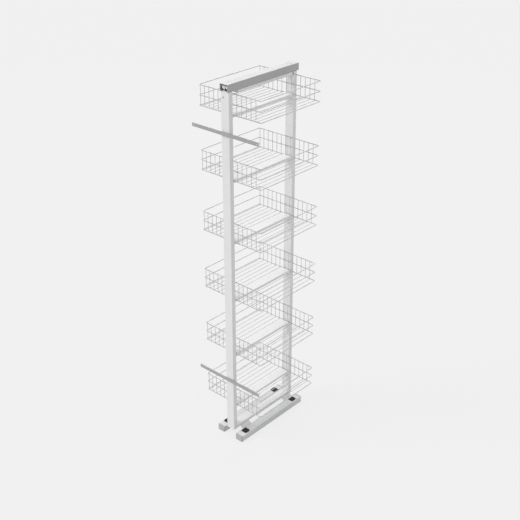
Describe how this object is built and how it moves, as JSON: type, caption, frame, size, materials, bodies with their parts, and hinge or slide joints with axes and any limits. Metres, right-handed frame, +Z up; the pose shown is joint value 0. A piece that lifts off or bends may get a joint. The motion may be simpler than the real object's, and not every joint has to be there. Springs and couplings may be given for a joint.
{
  "type": "pull out larder unit",
  "caption": "Tall pull out larder: a tube frame with wire baskets on floor runners, guided by a rail at the top, with crossbars for a door.",
  "frame": {"origin": "on the cabinet floor, midway across the unit and midway along its floor rails", "axes": "+Z up; the unit pulls out towards -Y; +X to the right seen from the front"},
  "size_m": [0.45, 0.53, 2.091],
  "materials": {
    "frame_paint": "light grey powder coat",
    "rail_grey": "mid grey powder coat",
    "zinc_steel": "bright zinc plate",
    "cap_plastic": "grey moulded plastic",
    "cover_plastic": "black moulded plastic",
    "guide_aluminium": "satin extrusion",
    "buffer_rubber": "soft black rubber",
    "cage_plastic": "pale natural plastic",
    "ball_steel": "polished bearing steel",
    "fastener_steel": "zinc plated fasteners",
    "crossbar_steel": "galvanised steel",
    "roller_nylon": "white nylon",
    "wire_chrome": "bright plated wire"
  },
  "bodies": {
    "cabinet": {"left_floor_rail": "rail_grey", "right_floor_rail": "rail_grey", "left_cabinet_member": "zinc_steel", "right_cabinet_member": "zinc_steel", "rear_end_caps": "cap_plastic", "front_screw_covers": "cover_plastic", "rear_screw_covers": "cover_plastic", "guide_rail": "guide_aluminium", "rail_buffer": "buffer_rubber"},
    "middle_runners": {"middle_members": "zinc_steel"},
    "outer_cages": {"outer_ball_cages": "cage_plastic", "outer_balls": "ball_steel"},
    "inner_cages": {"inner_ball_cages": "cage_plastic", "inner_balls": "ball_steel"},
    "frame": {"left_drawer_member": "zinc_steel", "right_drawer_member": "zinc_steel", "front_end_caps": "cap_plastic", "front_saddle": "frame_paint", "rear_saddle": "frame_paint", "saddle_rivets": "fastener_steel", "saddle_screws": "fastener_steel", "front_upright": "frame_paint", "rear_upright": "frame_paint", "base_beam": "frame_paint", "shelf_beam_1": "frame_paint", "shelf_beam_2": "frame_paint", "shelf_beam_3": "frame_paint", "shelf_beam_4": "frame_paint", "shelf_beam_5": "frame_paint", "shelf_beam_6": "frame_paint", "top_beam": "frame_paint", "top_strap": "zinc_steel", "strap_screws": "fastener_steel", "lower_crossbar": "crossbar_steel", "upper_crossbar": "crossbar_steel", "crossbar_screws": "fastener_steel", "roller_axles": "fastener_steel"},
    "front_left_roller": {"front_left_roller": "roller_nylon"},
    "front_right_roller": {"front_right_roller": "roller_nylon"},
    "rear_left_roller": {"rear_left_roller": "roller_nylon"},
    "rear_right_roller": {"rear_right_roller": "roller_nylon"},
    "basket_1": {"basket_1_floor": "wire_chrome", "basket_1_ends": "wire_chrome", "basket_1_sides": "wire_chrome"},
    "basket_2": {"basket_2_floor": "wire_chrome", "basket_2_ends": "wire_chrome", "basket_2_sides": "wire_chrome"},
    "basket_3": {"basket_3_floor": "wire_chrome", "basket_3_ends": "wire_chrome", "basket_3_sides": "wire_chrome"},
    "basket_4": {"basket_4_floor": "wire_chrome", "basket_4_ends": "wire_chrome", "basket_4_sides": "wire_chrome"},
    "basket_5": {"basket_5_floor": "wire_chrome", "basket_5_ends": "wire_chrome", "basket_5_sides": "wire_chrome"},
    "basket_6": {"basket_6_floor": "wire_chrome", "basket_6_ends": "wire_chrome", "basket_6_sides": "wire_chrome"}
  },
  "joints": [
    {"name": "pull_out", "type": "slide", "parent": "cabinet", "child": "frame", "axis": [0, -1, 0], "range_m": [0, 0.5]},
    {"name": "middle_runner_slide", "type": "slide", "parent": "cabinet", "child": "middle_runners", "axis": [0, -1, 0], "range_m": [0, 0.25]},
    {"name": "outer_cage_slide", "type": "slide", "parent": "cabinet", "child": "outer_cages", "axis": [0, -1, 0], "range_m": [0, 0.125]},
    {"name": "inner_cage_slide", "type": "slide", "parent": "cabinet", "child": "inner_cages", "axis": [0, -1, 0], "range_m": [0, 0.375]},
    {"name": "front_left_roller_spin", "type": "hinge", "parent": "frame", "child": "front_left_roller", "pos_m": [-0.012, -0.24605, 2.066], "axis": [0, 0, 1], "range_deg": [-2640, 0]},
    {"name": "front_right_roller_spin", "type": "hinge", "parent": "frame", "child": "front_right_roller", "pos_m": [0.012, -0.24605, 2.066], "axis": [0, 0, 1], "range_deg": [0, 2640]},
    {"name": "rear_left_roller_spin", "type": "hinge", "parent": "frame", "child": "rear_left_roller", "pos_m": [-0.012, 0.24605, 2.066], "axis": [0, 0, 1], "range_deg": [-2640, 0]},
    {"name": "rear_right_roller_spin", "type": "hinge", "parent": "frame", "child": "rear_right_roller", "pos_m": [0.012, 0.24605, 2.066], "axis": [0, 0, 1], "range_deg": [0, 2640]},
    {"name": "basket_1_lift", "type": "slide", "parent": "frame", "child": "basket_1", "axis": [0, 0, 1], "range_m": [0, 0.0085]},
    {"name": "basket_2_lift", "type": "slide", "parent": "frame", "child": "basket_2", "axis": [0, 0, 1], "range_m": [0, 0.0085]},
    {"name": "basket_3_lift", "type": "slide", "parent": "frame", "child": "basket_3", "axis": [0, 0, 1], "range_m": [0, 0.0085]},
    {"name": "basket_4_lift", "type": "slide", "parent": "frame", "child": "basket_4", "axis": [0, 0, 1], "range_m": [0, 0.0085]},
    {"name": "basket_5_lift", "type": "slide", "parent": "frame", "child": "basket_5", "axis": [0, 0, 1], "range_m": [0, 0.0085]},
    {"name": "basket_6_lift", "type": "slide", "parent": "frame", "child": "basket_6", "axis": [0, 0, 1], "range_m": [0, 0.0085]}
  ],
  "couplings": [
    {"joint": "middle_runner_slide", "follows": "pull_out", "ratio": 0.5},
    {"joint": "outer_cage_slide", "follows": "pull_out", "ratio": 0.25},
    {"joint": "inner_cage_slide", "follows": "pull_out", "ratio": 0.75},
    {"joint": "front_left_roller_spin", "follows": "pull_out", "rad_per_m": -91.324},
    {"joint": "front_right_roller_spin", "follows": "pull_out", "rad_per_m": 91.324},
    {"joint": "rear_left_roller_spin", "follows": "pull_out", "rad_per_m": -91.324},
    {"joint": "rear_right_roller_spin", "follows": "pull_out", "rad_per_m": 91.324}
  ]
}
